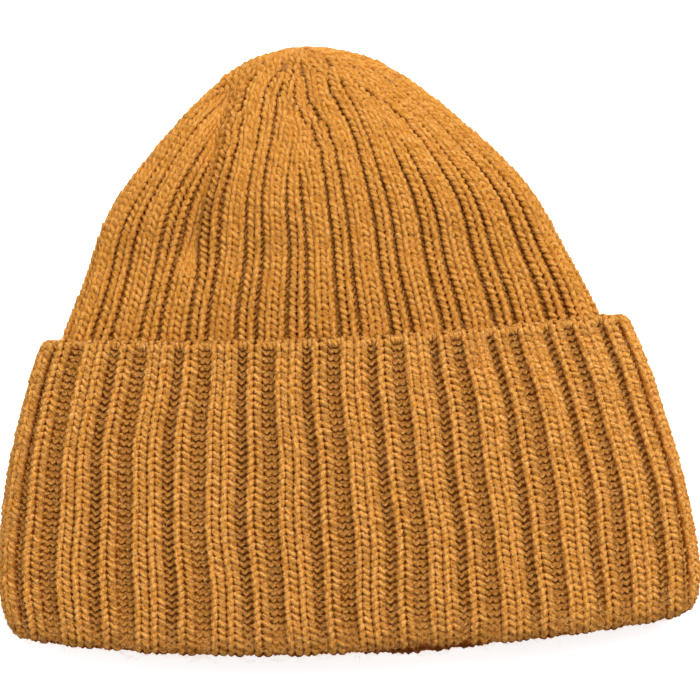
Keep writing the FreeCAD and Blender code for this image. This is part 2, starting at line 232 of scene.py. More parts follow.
def shorten(p, cut):
    """Takes a length off the end of every column of a grid."""
    return even_rows(p, lambda length: (length - cut) * np.linspace(0, 1, p.shape[0])[:, None])


def bump(p, x, y, wide, tall, rise):
    """A round swelling of the cloth at x, y."""
    return rise * np.exp(-(((p[..., 0] - x) / wide) ** 2) - ((p[..., 1] - y) / tall) ** 2)


def crease(p, x0, y0, x1, y1, wide, deep, steep=None):
    """A long soft hollow between two points, deepest along its line and fading at its ends; steep is its
    width on the side of the larger x, when that side falls more sharply.
    """
    dx, dy = x1 - x0, y1 - y0
    reach = math.hypot(dx, dy)
    t = ((p[..., 0] - x0) * dx + (p[..., 1] - y0) * dy) / reach**2
    off = ((p[..., 0] - x0) * dy - (p[..., 1] - y0) * dx) / reach
    width = np.where(off < 0, steep or wide, wide)
    return -deep * np.exp(-((off / width) ** 2)) * soft(t * 3 + 0.6) * soft((1.2 - t) * 3)


def settle(p, normal):
    """Lets the cloth lie softly: long low waves and the crown's creases lift or lower what faces up, the
    sides sway a little, and ribs weave from side to side.
    """
    x, y, z = p[..., 0], p[..., 1], p[..., 2]
    up = np.clip(normal[..., 2], 0, 1)
    wave = (
        0.45 * np.sin(x / 19.0 + y / 41.0 + 1.3)
        + 0.40 * np.sin(x / 33.0 - y / 23.0 + 0.4)
        + 0.25 * np.sin(x / 9.5 + y / 60.0 + 2.0)
    )
    on_crown = soft((y - 12) / 20)
    wave = wave + on_crown * (
        crease(p, -32, 90, -46, 34, 5.5, 7.5, 3.2)
        + crease(p, -24, 99, -32, 80, 3.0, 2.4, 2.0)
        + crease(p, -7, 92, -13, 52, 4.0, 1.0)
        + bump(p, 8, 84, 12, 12, 0.9)
        + bump(p, -34, 50, 9, 26, 0.7)
    )
    side = np.clip(np.abs(normal[..., 0]), 0, 1)
    sway = 0.6 * np.sin(y / 17.0 + np.sign(x)) * side * np.sign(x)
    weave = 0.35 * np.sin(y / 10.0 + x / 14.0) + 0.25 * np.sin(y / 5.5 - x / 27.0 + 1.0)
    return np.stack([x + sway + weave * up, y, z + wave * up], -1)


class Cloth:
    """Middle surface of the knitted tube as one grid.

    Rows are courses: they start at the cuff's free edge, go down the cuff, round the fold at the mouth, up
    the inner band and over the crown to its top. Columns are parts of the way round. Between the grid's
    points a bilinear blend gives place and normal. The normal is the side that is the right side on the
    crown, so on the cuff it points inwards.
    """

    PER_COURSE = 4
    COLUMNS = 756
    # Rows of the skins that the grid is worked out from.
    CUFF_ROWS, CROWN_ROWS, BAND_ROWS = 200, 420, 160
    # How far past the cloth's middle the loops stand off, in yarn radii.
    LOOP_EDGE = 1.26
    # How far the mouth's uneven stretch, in millimetres, reaches in front (x, spread, height) and behind.
    MOUTH_FRONT, MOUTH_BACK = (24, 26, 1.0), (22, 38, -3.6)
    # Length over which the band is let out to meet the fold, and radius of the free edge's curl, in mm.
    EASE, CURL = 18.0, 0.75

    def __init__(self, shape, yarn):
        self.shape = shape
        self.s = np.arange(self.COLUMNS) / self.COLUMNS
        skin = yarn.rib_rise + yarn.depth + self.LOOP_EDGE * yarn.radius

        def middle_of(p, side):
            """The settled middle surface under an outer skin whose grid normal points out (1) or in (-1)."""
            out = side * grid_normal(p)
            return settle(p - skin * out, out)

        outer = middle_of(self.cuff_skin(np.linspace(0, 1, self.CUFF_ROWS)[:, None], 0.0, 0.0), -1)
        crown = middle_of(self.crown_skin(), 1)
        band_v = np.linspace(1, 0, self.BAND_ROWS)[:, None]
        fade = GAP * soft(band_v * 1.5 - 0.5)
        band = middle_of(self.cuff_skin(band_v, fade, GAP), 1)

        end_out, drop = border(outer, -1, -1)
        cut = GAP / 2 + skin
        outer = even_rows(shorten(outer, cut), self.cuff_courses)
        start = outer[-1]
        inner = np.concatenate([shorten(band[::-1], cut)[::-1][:-1], crown])
        slack = start - GAP * end_out - inner[0]
        reach = np.linalg.norm(inner - inner[0], axis=2)
        inner = even_rows(inner + slack * np.exp(-((reach / self.EASE) ** 2))[..., None], self.inner_courses)

        turn = np.linspace(0, np.pi, ROLL * self.PER_COURSE + 1)[1:-1, None, None]
        middle, arm = (start + inner[0]) / 2, (start - inner[0]) / 2
        roll = middle + arm * np.cos(turn) + drop * (GAP / 2) * np.sin(turn)

        edge_out, rise = border(outer, 0, 1)
        turn = np.linspace(np.pi, 0, RIM * self.PER_COURSE + 1)[:-1, None, None]
        rim = outer[0] - self.CURL * edge_out + self.CURL * (edge_out * np.cos(turn) + rise * np.sin(turn))

        self.place = np.concatenate([rim, outer, roll, inner])
        self.normal = grid_normal(self.place)
        self.round = np.linalg.norm(np.roll(self.place, -1, 1) - self.place, axis=2).sum(1)

    def mouth_line(self, x):
        """Where the fold lies: a shallow arc that rises more at the left, with a round corner at each end,
        a low rise in front and a lower stretch behind, right of the middle.
        """
        shape, ax = self.shape, np.abs(x)
        half, corner = shape.cuff_width / 2, shape.mouth_corner
        into = np.clip(ax - (half - corner), 0, corner)
        front = soft((0.25 - np.abs(self.s - 0.5)) / 0.05)
        upper = 0.0
        for share, (centre, spread, height) in ((front, self.MOUTH_FRONT), (1 - front, self.MOUTH_BACK)):
            upper = upper + height * share * bell(x, centre, spread)
        sag = shape.mouth_sag * (1 + 0.35 * (x < 0))
        return shape.mouth + sag * (ax / half) ** 2 + corner - np.sqrt(corner**2 - into**2) + upper

    def cuff_skin(self, v, grow, inset):
        """Outer skin of the cuff, or of the inner band when inset. v runs from 0 at the free edge, or at the
        crown's base, down to 1 at the fold. Both narrow upwards from 22 mm above the mouth, as a parabola.
        """
        shape, s = self.shape, self.s
        full, base = shape.cuff_width, shape.crown_base
        straight = shape.mouth + 22.0
        width, thick, side = full - 2 * inset, shape.cuff_thickness - 2 * inset, SIDE - inset
        x_end, _ = ring(width, thick, side, inset, s, grow=inset)
        wide = x_end * (full / width)
        if inset == 0:
            edge = shape.free_edge - 0.6 + 3.4 * (wide / 97.5) ** 2
        else:
            edge = np.full_like(s, base)
        y = edge + (self.mouth_line(wide) - edge) * v
        if inset == 0:
            up = np.clip((y - straight) / (shape.free_edge + 11.2 - straight), 0, 1.2)
            w = full - shape.cuff_taper * up**2
        else:
            up = np.clip((y - straight) / (base - straight), 0, 1)
            w = width + (shape.crown_width - full + 2 * inset) * up**2
        x, z = ring(w, thick, side, inset, s, grow)
        lean = (-3.0 if inset else -1.9) * soft((y - shape.mouth - 8) / (base - shape.mouth))
        return np.stack([x + lean, y + 0 * x, z], -1)

    def crown_skin(self):
        """Outer skin of the crown. With t the share of its height, its width is the base's times
        sqrt(1 - t^1.05), fuller about halfway up and near the top. Its thickness falls from 21.8 to 11 mm as
        a quarter ellipse, fuller about halfway up, and closes at the top.
        """
        shape = self.shape
        top, base = shape.top - 0.2, shape.crown_base
        h = (top - base) * np.linspace(1, 0.035, self.CROWN_ROWS)[:, None] ** 2
        y = top - h
        t = (y - base) / (top - base)
        w = shape.crown_width * np.sqrt(1 - t**1.05)
        w = w + 6.6 * bell(t, 0.51, 0.18) + 2.5 * bell(t, 0.94, 0.05)
        full = 11 + 10.8 * np.sqrt(np.maximum(1 - t**2, 0)) + 8 * 16 * t**2 * (1 - t) ** 2
        thick = full * np.sqrt(1 - np.exp(-h / 1.7))
        lift = GAP * np.maximum(0, 1 - (t / 0.35) ** 3) ** 2 + (full - thick) / 2
        x, z = ring(w, thick, 0.303 * thick, lift, self.s)
        return np.stack([x - 3.0 + (shape.lean + 3.3) * t**3, y + 0 * x, z], -1)

    def cuff_courses(self, length):
        """Even courses, closer together only where a column ends early at a corner of the mouth."""
        j = np.linspace(0, 1, CUFF * self.PER_COURSE + 1)[:, None]
        usual = np.median(length)
        return usual * j + (length - usual) * j**3

    def inner_courses(self, length):
        """Counted from the top: 2.2 mm to a course at the middle and 2.4 at the sides, the rest let out in
        the band.
        """
        k = np.linspace(0, 1, INNER * self.PER_COURSE + 1)[:, None]
        edge = np.abs(np.sin(2 * np.pi * self.s)) ** 2
        pitch = (np.median(length) / INNER - 0.04) + 0.16 * edge
        from_top = INNER * pitch * k + (length - INNER * pitch) * k**4
        return (length - from_top)[::-1]

    def girth(self, j):
        """Length once round course j, in millimetres."""
        return float(np.interp((j + RIM) * self.PER_COURSE, np.arange(len(self.round)), self.round))

    def at(self, j, s):
        """Place and normal at courses j and shares s of the way round."""
        row = np.clip((j + RIM) * self.PER_COURSE, 0, self.place.shape[0] - 1.001)
        r0 = row.astype(int)
        fr = (row - r0)[..., None]
        col = (s % 1.0) * self.COLUMNS
        c0 = np.floor(col).astype(int)
        fc = (col - c0)[..., None]
        c0 %= self.COLUMNS
        c1 = (c0 + 1) % self.COLUMNS

        def blend(g):
            here = g[r0, c0] * (1 - fc) + g[r0, c1] * fc
            beyond = g[r0 + 1, c0] * (1 - fc) + g[r0 + 1, c1] * fc
            return here * (1 - fr) + beyond * fr

        return blend(self.place), unit(blend(self.normal))


# ---------------------------------------------------------------- the stitches


def on_inner(j):
    """0 on the cuff and at the fold, 1 once the band has passed to the crown's rib widths."""
    return soft((j - CUFF - ROLL) / PASSING)


def wale_weights(j):
    """Lateral widths of all wales in course j, and how far the rib relief has faded into plain knit (0 to
    1).
    """
    toward_crown = on_inner(j)
    weights = CUFF_WIDTHS * (1 - toward_crown) + CROWN_WIDTHS * 17.9 / 16.6 * toward_crown
    from_top = LAST - j
    plain = soft((5.5 - from_top) / 3.5)
    weights = weights * (1 - plain) + 3.6 * plain
    apart = WALES // DART_COUNT
    for m, start in enumerate(DARTS, 1):
        gone = soft((start + 1.2 - from_top) / 2.4)
        for k in range(DART_COUNT):
            centre = apart * k + 4
            for w in (centre - m, centre + m):
                weights[w % WALES] *= 1 - gone
    return weights, plain


def course_layout(j):
    """Left edge and width of every wale in course j as shares of the way round, which wales remain, and how
    plain the knit is. The cloth's crowding moves the edges by a wave once round.
    """
    weights, plain = wale_weights(j)
    keep = weights > 0.12
    weights = np.where(keep, weights, 0.0)
    edges = np.concatenate([[0.0], np.cumsum(weights)]) / weights.sum()
    inner = on_inner(j)
    start = (0.4 * (1 - inner) + 0.1 * inner) / REPEATS
    middle, right = ((1 - inner) * cuff + inner * crown for cuff, crown in zip(CUFF_CROWDING, CROWN_CROWDING))
    u = edges + start
    turn = 2 * np.pi * (u - 0.5)
    s = u + (middle * np.sin(turn) + right * (1 - np.cos(turn))) / (2 * np.pi)
    return s[:-1], np.diff(s), keep, plain


def cuff_side(j):
    """1 on the cuff, 0 on the inner band and the crown."""
    return 1 - soft((j - CUFF) / ROLL)


def at_fold(j):
    """1 where the cloth turns round the mouth, fading to 0 a few courses away."""
    return math.exp(-(((j - CUFF - ROLL / 2) / 3.2) ** 2))


def at_rim(j):
    """1 in the courses that curl over the free edge, 0 from just below them."""
    return float(soft((0.2 - j) / 1.2))


def shown_side(j):
    """Which side of the cloth is the hat's outside at course j: -1 on the cuff, 1 beyond the fold."""
    return -1.0 if j < CUFF + ROLL / 2 else 1.0


def standing(height):
    """Height off the cloth's middle as a share, 0 deep between the ribs and 1 high on them."""
    return np.clip((height + 1.4) / 3.4, 0, 1)


def rib_relief(j, s, left, width, kind, plain, rise, girth):
    """How far the cloth's middle stands off at shares s of the way round in course j.

    Each run of one kind of wale is a flat-topped rib or a valley: its rise times 1 - |2q - 1| to the sixth
    power, with q from 0 to 1 across the run. Ribs stand towards the side that shows them as knit. Valleys
    too narrow for the yarn lie shallower. The relief fades at the top, at the fold and at the rim.
    """
    n = len(kind)
    change = np.flatnonzero(kind != np.roll(kind, 1))
    if len(change) == 0:
        return np.full(np.shape(s), rise * 0.8)
    group = np.searchsorted(change, np.arange(n), side="right") - 1
    first = change[group]
    last = np.roll(change, -1)[group] - 1
    begin = left[first] - (group < 0)
    span = left[last % n] + width[last % n] + (last < np.arange(n)) - begin
    wale = np.searchsorted(left, left[0] + (s - left[0]) % 1.0, side="right") - 1
    q = ((s - begin[wale]) % 1.0 + 0.5 * span[wale]) % 1.0 - 0.5 * span[wale]
    q = np.where(q > 1.4 * span[wale], q - 1, q) / span[wale]
    on_cuff = cuff_side(j)
    inward = 0.88 * rise
    shape = 1 - np.abs(2 * np.clip(q, 0, 1) - 1) ** 6.0
    knit_rise = rise * (1 - on_cuff) + inward * on_cuff
    purl_rise = inward * (1 - on_cuff) + rise * on_cuff
    room = soft(span * girth / 1.5)[wale]
    relief = np.where(kind[wale] > 0, knit_rise * shape, -purl_rise * shape * (room + (1 - room) * on_cuff))
    relief = relief * (1 - plain) + rise * 0.8 * plain
    relief = relief * (1 - 0.9 * at_fold(j))
    rim = at_rim(j)
    return relief * (1 - 0.75 * rim) - rise * 0.62 * rim


def lay_course(cloth, yarn, j, samples, jitter):
    """Centre line, cloth normal, radius and depth of one course of loops.

    For a stitch whose yarn runs through t = 0..1: across its wale t + swing sin(4 pi t), slanted by the
    skew; along the wale -reach cos(2 pi t); off the cloth the rib's relief, less depth kind cos(4 pi t),
    plus tilt kind cos(2 pi t). Kind is +1 for knit and -1 for purl and passes smoothly from one stitch to
    the next. Depth is more for the bumps of the side that isn't shown as knit, and less at the fold. The
    radius is 1 - 0.26 cos(4 pi t) times the yarn's, so that legs are fuller than heads and feet.
    """
    left, width, keep, plain = course_layout(j)
    index = np.flatnonzero(keep)
    left, width = left[index], width[index]
    rib_kind = TYPES[index]
    rim, turned, on_cuff = at_rim(j), at_fold(j), cuff_side(j)
    kind = (rib_kind * (1 - plain) + plain) * (1 - rim) - rim
    t = ((np.arange(samples) + 0.5) / samples)[None, :]
    rnd = jitter[:, index]
    centre_w, edge_w = np.sin(np.pi * t) ** 2, np.cos(np.pi * t) ** 2

    def uneven(k):
        """A stitch's own random shares k and k + 1, for its middle and its edges, passing into its
        neighbour's.
        """
        mid, mine = rnd[k][:, None], rnd[k + 1][:, None]
        other = np.roll(rnd[k + 1], -1)[:, None]
        return mid * centre_w + np.where(t < 0.5, mine, other) * edge_w

    near = np.where(t < 0.5, np.roll(kind, 1)[:, None], np.roll(kind, -1)[:, None])
    h = np.cos(np.pi * t) ** 6
    k_t = kind[:, None] * (1 - h / 2) + near * h / 2
    swing = yarn.swing * (1 + 0.5 * uneven(0))
    across = t + swing * np.sin(4 * np.pi * t)
    along = -yarn.reach * np.cos(2 * np.pi * t) * (1 + uneven(2))
    s = left[:, None] + width[:, None] * across
    girth = cloth.girth(j)
    relief = rib_relief(j, s, left, width, rib_kind, plain, yarn.rib_rise, girth)
    deep = yarn.depth * (1 - 0.75 * turned) * np.where(kind[:, None] * (2 * on_cuff - 1) > 0, 1.35, 1.0)
    loop = -deep * k_t * np.cos(4 * np.pi * t)
    lift = relief + loop + yarn.tilt * k_t * np.cos(2 * np.pi * t) + 2.2 * uneven(4)
    skew = yarn.cuff_skew * on_cuff + yarn.skew * (1 - on_cuff)
    s = s - k_t * skew * along * COURSE * np.minimum(1 / girth, width[:, None] / 1.6)
    place, normal = cloth.at(j + along, s)
    centre = place + normal * lift[..., None]
    radius = yarn.radius * (1 - 0.26 * np.cos(4 * np.pi * t)) * (1 + uneven(6)) * (1 - 0.2 * rim)
    radius = radius * np.where(kind[:, None] > 0, 1 - 0.1 * on_cuff * (1 - turned), 1 + 0.05 * on_cuff)
    # Halved at the fold, so the finish paints the fold darker: painted shade where the cloth turns away from
    # the lamp.
    depth = standing(shown_side(j) * lift) * (1 - 0.5 * turned)
    return centre.reshape(-1, 3), normal.reshape(-1, 3), radius.reshape(-1), depth.reshape(-1)


def closed_tube(centre, normal, radius, sides, squash=0.0):
    """Points round a closed line: a circle of the given radius in the plane across it, its first axis kept
    to the cloth's normal. Squash makes it that share taller along the normal and narrower across it.
    """
    tangent = unit(np.roll(centre, -1, 0) - np.roll(centre, 1, 0))
    e1 = unit(normal - (normal * tangent).sum(1, keepdims=True) * tangent)
    e2 = np.cross(tangent, e1)
    angle = 2 * np.pi * np.arange(sides) / sides
    tall = (1 + squash) * np.cos(angle)[None, :, None]
    slim = (1 - squash) * np.sin(angle)[None, :, None]
    return centre[:, None] + (e1[:, None] * tall + e2[:, None] * slim) * radius[:, None, None]


def open_tube(path, radius, sides, up):
    """Points round an open line in the same way, the ends narrowing to a closed tip."""
    tangent = unit(np.gradient(path, axis=0))
    e1 = unit(up - (up * tangent).sum(1, keepdims=True) * tangent)
    e2 = np.cross(tangent, e1)
    angle = 2 * np.pi * np.arange(sides) / sides
    around = e1[:, None] * np.cos(angle)[None, :, None] + e2[:, None] * np.sin(angle)[None, :, None]
    radius = np.concatenate([[0.0], radius, [0.0]])
    centre = np.concatenate([path[:1], path, path[-1:]])
    around = np.concatenate([around[:1], around, around[-1:]])
    return centre[:, None] + around * radius[:, None, None]


def tube_faces(rows, sides, closed):
    """Quads between the rings of a tube, facing outwards."""
    i = np.arange(rows if closed else rows - 1)[:, None]
    k = np.arange(sides)[None, :]
    i2, k2 = (i + 1) % rows, (k + 1) % sides
    return np.stack([i * sides + k, i * sides + k2, i2 * sides + k2, i2 * sides + k], -1).reshape(-1, 4)


def tube_uv(length, sides):
    """Corner coordinates of those quads: along the yarn in millimetres, and round it from 0 to 1."""
    a = length[:-1, None] + np.zeros((1, sides))
    b = length[1:, None] + np.zeros((1, sides))
    v = np.arange(sides)[None, :] / sides + 0 * a
    w = v + 1 / sides
    return np.stack([a, v, a, w, b, w, b, v], -1).reshape(-1, 2)


def make_mesh(name, points, faces, uv, depth, open_, material):
    """One mesh object from arrays: points in millimetres, quads, corner coordinates and, for each point,
    how high it lies between the ribs and how openly it faces out, both 0 to 1, which the wool finish turns
    into painted shade. z = max(z, 0), as the table presses it flat.
    """
    points = np.column_stack([points[:, :2], np.maximum(points[:, 2], 0.0)])
    mesh = bpy.data.meshes.new(name)
    mesh.vertices.add(len(points))
    mesh.vertices.foreach_set("co", (points * MM).astype(np.float32).ravel())
    count, corners = faces.shape
    mesh.loops.add(count * corners)
    mesh.loops.foreach_set("vertex_index", faces.astype(np.int32).ravel())
    mesh.polygons.add(count)
    mesh.polygons.foreach_set("loop_start", np.arange(count, dtype=np.int32) * corners)
    mesh.polygons.foreach_set("loop_total", np.full(count, corners, dtype=np.int32))
    layer = mesh.uv_layers.new(name="Yarn")
    layer.data.foreach_set("uv", uv.astype(np.float32).ravel())
    for key, values in (("depth", depth), ("open", open_)):
        attribute = mesh.attributes.new(key, "FLOAT", "POINT")
        attribute.data.foreach_set("value", values.astype(np.float32))
    mesh.update(calc_edges=True)
    mesh.validate()
    mesh.shade_smooth()
    mesh.materials.append(material)
    piece = bpy.data.objects.new(name, mesh)
    bpy.context.scene.collection.objects.link(piece)
    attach(piece, "root")
    return piece


def matted_fibres_and_shade(cloth, yarn, first, last):
    """The fibres that mat together and close the gaps between loops: a surface through the middle of the
    ribs, course by course, that also carries painted shade, darkest in the gaps between the loops of the ribs
    and less dark in the valleys. It lies higher than the relief in the crown's valleys, and on the cuff's
    ribs.
    """
    around = 3 * WALES
    s = np.arange(around) / around
    rows = np.arange(first - 0.5, last + 1.0)
    layers, heights, opens = [], [], []
    for j in rows:
        left, width, keep, plain = course_layout(j)
        relief = rib_relief(j, s, left[keep], width[keep], TYPES[keep], plain, yarn.rib_rise, cloth.girth(j))
        place, normal = cloth.at(np.full(around, j), s)
        shown = shown_side(j)
        height = relief * shown
        filled = np.maximum(height, -0.25) if shown > 0 else height + 0.3 * (height > 0)
        layers.append(place + normal * (filled * shown)[:, None])
        heights.append(height)
        # Painted shade: low openness under the ribs, so the finish darkens the gaps between loops, and less
        # low in the valleys.
        opens.append(np.where(height < 0, 0.6, 0.1 if shown > 0 else 0.4))
    faces = tube_faces(len(rows), around, False)
    uv = np.stack([400 * s[faces % around], COURSE * (faces // around)], -1).reshape(-1, 2)
    return np.concatenate(layers), faces, uv, standing(np.concatenate(heights)), np.concatenate(opens)


def knit(name, cloth, yarn, first, last, detail, material):
    """Courses first to last of the cloth as one piece, each course a closed tube of yarn, with the fibres
    that mat between them, a sheet that also carries painted shade. Detail is how many points a stitch and a
    turn round the yarn have.
    """
    points, faces, uvs, depths, opens = [], [], [], [], []
    base = 0
    samples, sides = detail
    # How openly each side of the tube faces out; the finish paints shade on the sides that face into the
    # cloth.
    facing = 0.5 + 0.5 * np.cos(2 * np.pi * np.arange(sides) / sides)
    rng = np.random.default_rng(SEED + first)
    shake = rng.normal(0, yarn.unevenness, (8, WALES, last - first + 1))
    for n, j in enumerate(range(first, last + 1)):
        centre, normal, radius, depth = lay_course(cloth, yarn, j, samples, shake[:, :, n])
        tube = closed_tube(centre, normal, radius, sides, yarn.squash * (0.8 if j < CUFF + ROLL else 1.0))
        step = np.linalg.norm(np.roll(centre, -1, 0) - centre, axis=1)
        length = np.concatenate([[0], np.cumsum(step)]) + PLY_SHIFT * n
        rows = len(centre)
        points.append(tube.reshape(-1, 3))
        faces.append(tube_faces(rows, sides, True) + base)
        uvs.append(tube_uv(length, sides))
        depths.append(np.repeat(depth, sides))
        opens.append(np.tile(facing if shown_side(j) > 0 else 1 - facing, rows))
        base += rows * sides
    felt_and_shade = matted_fibres_and_shade(cloth, yarn, first, last)
    points.append(felt_and_shade[0])
    faces.append(felt_and_shade[1] + base)
    for store, part in zip((uvs, depths, opens), felt_and_shade[2:]):
        store.append(part)
    return make_mesh(name, *(np.concatenate(a) for a in (points, faces, uvs, depths, opens)), material)


def lone_yarn(name, tube, length, closed, material):
    """A single length of yarn as its own piece, shaded as if it lay halfway up a rib."""
    rows, sides = tube.shape[:2]
    count = rows * sides
    faces, uv = tube_faces(rows, sides, closed), tube_uv(length, sides)
    return make_mesh(name, tube.reshape(-1, 3), faces, uv, np.full(count, 0.6), np.ones(count), material)


def strand(name, path, thick, up, sides, material):
    """A single length of yarn along a path, of the given radius."""
    tube = open_tube(path, np.full(len(path), thick), sides, up)
    step = np.linalg.norm(np.diff(tube.mean(1), axis=0), axis=1)
    return lone_yarn(name, tube, np.concatenate([[0], np.cumsum(step)]), False, material)


def spans(cuts):
    """First and last course of each piece, when every piece ends at a cut and the first starts at one."""
    return [(int(a) + (n > 0), int(b)) for n, (a, b) in enumerate(zip(cuts, cuts[1:]))]


# ---------------------------------------------------------------- finishes


def put(node, values):
    """Sets the constants on a node's own sockets."""
    for key, value in values.items():
        node.inputs[key].default_value = value


def wool(name, colour, deep=1.0, speckle=1.0, bright=1.0):
    """Soft carded wool: two plies laid round each other, fine fibres along them, a heather of tones, and
    painted shade: darker down between the ribs, on the side of the yarn that faces into the cloth and in the
    grooves between the plies. Deep is the strength of the painted shade between the ribs, speckle that of the
    pale and dark fibres, and bright multiplies the main colour.
    """
    material = bpy.data.materials.new(name)
    material.use_nodes = True
    nodes, links = material.node_tree.nodes, material.node_tree.links
    nodes.clear()
    out = nodes.new("ShaderNodeOutputMaterial")
    shader = nodes.new("ShaderNodeBsdfPrincipled")
    links.new(shader.outputs[0], out.inputs[0])
    pale = (*colour.pale, 1.0)
    put(shader, {"Roughness": 0.93, "Specular IOR Level": 0.04})
    put(shader, {"Sheen Weight": 0.03, "Sheen Roughness": 0.45, "Sheen Tint": pale})

    yarn_map = nodes.new("ShaderNodeUVMap")
    yarn_map.uv_map = "Yarn"
    split = nodes.new("ShaderNodeSeparateXYZ")
    links.new(yarn_map.outputs[0], split.inputs[0])
    along, around = split.outputs[0], split.outputs[1]
    place = nodes.new("ShaderNodeTexCoord").outputs["Object"]

    def math_node(kind, a, b=None):
        node = nodes.new("ShaderNodeMath")
        node.operation = kind
        for socket, value in zip(node.inputs, (a, b)):
            if isinstance(value, float):
                socket.default_value = value
            elif value is not None:
                links.new(value, socket)
        return node.outputs[0]

    def noise(where, scale, detail, roughness=0.5):
        node = nodes.new("ShaderNodeTexNoise")
        put(node, {"Scale": scale, "Detail": detail, "Roughness": roughness})
        links.new(where, node.inputs["Vector"])
        return node.outputs[0]

    def mix(kind, factor, a, b):
        node = nodes.new("ShaderNodeMix")
        node.data_type = "RGBA"
        node.blend_type = kind
        links.new(factor, node.inputs[0])
        for number, value in ((COLOUR_A, a), (COLOUR_B, b)):
            if isinstance(value, tuple):
                node.inputs[number].default_value = value
            else:
                links.new(value, node.inputs[number])
        return node.outputs[COLOUR_OUT]

    def ramp(value, lo, hi, out_lo, out_hi):
        node = nodes.new("ShaderNodeMapRange")
        put(node, {"From Min": lo, "From Max": hi, "To Min": out_lo, "To Max": out_hi})
        links.new(value, node.inputs["Value"])
        return node.outputs[0]

    def attribute(key):
        node = nodes.new("ShaderNodeAttribute")
        node.attribute_name = key
        return node.outputs["Fac"]

    def shade_of(base, strength):
        return tuple(strength * c for c in base) + (1.0,)

    # Two plies: a wave that winds round the yarn once every few millimetres.
    winds = math_node("MULTIPLY", along, 2 * math.pi / 3.4)
    turns = math_node("MULTIPLY", around, 4 * math.pi)
    ply = math_node("SINE", math_node("ADD", winds, turns))
    ply = math_node("ADD", math_node("MULTIPLY", ply, 0.5), 0.5)

    # Fibres: noise drawn out along the same winding.
    winding = nodes.new("ShaderNodeCombineXYZ")
    slant = math_node("ADD", math_node("MULTIPLY", around, 15.0), math_node("MULTIPLY", along, 1.6))
    links.new(math_node("MULTIPLY", along, 0.9), winding.inputs[0])
    links.new(slant, winding.inputs[1])
    fibre = noise(winding.outputs[0], 1.0, 4.0, 0.65)
    fuzz = noise(place, 1700.0, 4.0, 0.7)
    heather = noise(place, 260.0, 3.0)
    patch = noise(place, 34.0, 2.0)

    tone = mix("MIX", ramp(fibre, 0.42, 0.62, 0.0, 0.55 + 0.3 * speckle), shade_of(colour.wool, bright), pale)
    tone = mix("MIX", ramp(heather, 0.30, 0.62, 0.45, 0.0), tone, shade_of(colour.wool, 0.72 * bright))
    tone = mix("MULTIPLY", ramp(patch, 0.35, 0.70, 0.22, 0.0), tone, (0.80, 0.72, 0.62, 1.0))
    # Painted shade in the grooves between the two plies, where the ply wave is low.
    tone = mix("MULTIPLY", ramp(ply, 0.0, 0.45, 0.5, 0.0), tone, (0.55, 0.36, 0.12, 1.0))
    tone = mix("MIX", ramp(fuzz, 0.54, 0.72, 0.0, 0.75 * speckle), tone, pale)
    tone = mix("MULTIPLY", ramp(fuzz, 0.32, 0.48, 0.85 * speckle, 0.0), tone, (0.45, 0.25, 0.06, 1.0))
    # Painted shade: the deep wool colour is mixed in where the yarn lies low between the ribs.
    dark = ramp(attribute("depth"), 0.08, 0.62, 0.7 * deep, 0.0)
    tone = mix("MIX", dark, tone, shade_of(colour.shade, bright))
    # Painted shade: a dark tint multiplied in where the yarn or the sheet faces into the cloth, away from the
    # light.
    hidden = ramp(attribute("open"), 0.3, 0.95, 0.95, 0.0)
    tone = mix("MULTIPLY", hidden, tone, (0.42, 0.20, 0.02, 1.0))
    links.new(tone, shader.inputs["Base Color"])

    height = math_node("ADD", math_node("MULTIPLY", ply, 0.55), math_node("MULTIPLY", fibre, 0.55))
    height = math_node("ADD", height, math_node("MULTIPLY", fuzz, 0.45))
    relief = nodes.new("ShaderNodeBump")
    put(relief, {"Strength": 1.0, "Distance": 0.0007})
    links.new(height, relief.inputs["Height"])
    links.new(relief.outputs[0], shader.inputs["Normal"])
    return material


def hair_wool(colour):
    """Stray fibres: a mix of the main colour and the pale one."""
    material = bpy.data.materials.new("hair_wool")
    material.use_nodes = True
    nodes, links = material.node_tree.nodes, material.node_tree.links
    shader = nodes["Principled BSDF"]
    where, tone = nodes.new("ShaderNodeTexCoord"), nodes.new("ShaderNodeTexNoise")
    spread = nodes.new("ShaderNodeMix")
    spread.data_type = "RGBA"
    put(tone, {"Scale": 90.0})
    put(spread, {COLOUR_A: (*colour.wool, 1.0), COLOUR_B: (*colour.pale, 1.0)})
    put(shader, {"Roughness": 0.6, "Specular IOR Level": 0.3})
    links.new(where.outputs["Object"], tone.inputs["Vector"])
    links.new(tone.outputs[0], spread.inputs[0])
    links.new(spread.outputs[COLOUR_OUT], shader.inputs["Base Color"])
    return material


def plain_floor():
    """A pale, even floor."""
    material = bpy.data.materials.new("pale_floor")
    material.use_nodes = True
    shader = material.node_tree.nodes["Principled BSDF"]
    put(shader, {"Base Color": (0.93, 0.93, 0.93, 1.0), "Roughness": 0.9, "Specular IOR Level": 0.1})
    put(shader, {"Emission Color": (1.0, 1.0, 1.0, 1.0), "Emission Strength": 0.6})
    return material


KEPT = {}


def cloth_of(context):
    """The cloth's grid, worked out once and kept for all the pieces."""
    if "cloth" not in KEPT:
        KEPT["cloth"] = Cloth(context.scene.beanie_shape, context.scene.beanie_yarn)
    return KEPT["cloth"]


def finish_of(context, name, **ways):
    """A wool finish by name, made once."""
    if name not in KEPT:
        KEPT[name] = wool(name, context.scene.beanie_colour, **ways)
    return KEPT[name]


def rib_finish(context):
    """The finish of the cuff, the fold and the band: the wool painted lighter than the crown's, painted
    light.
    """
    # bright 1.15 paints this copy of the wool lighter than the crown's: painted light.
    return finish_of(context, "rib_wool", speckle=1.2, bright=1.15)


# ---------------------------------------------------------------- operators


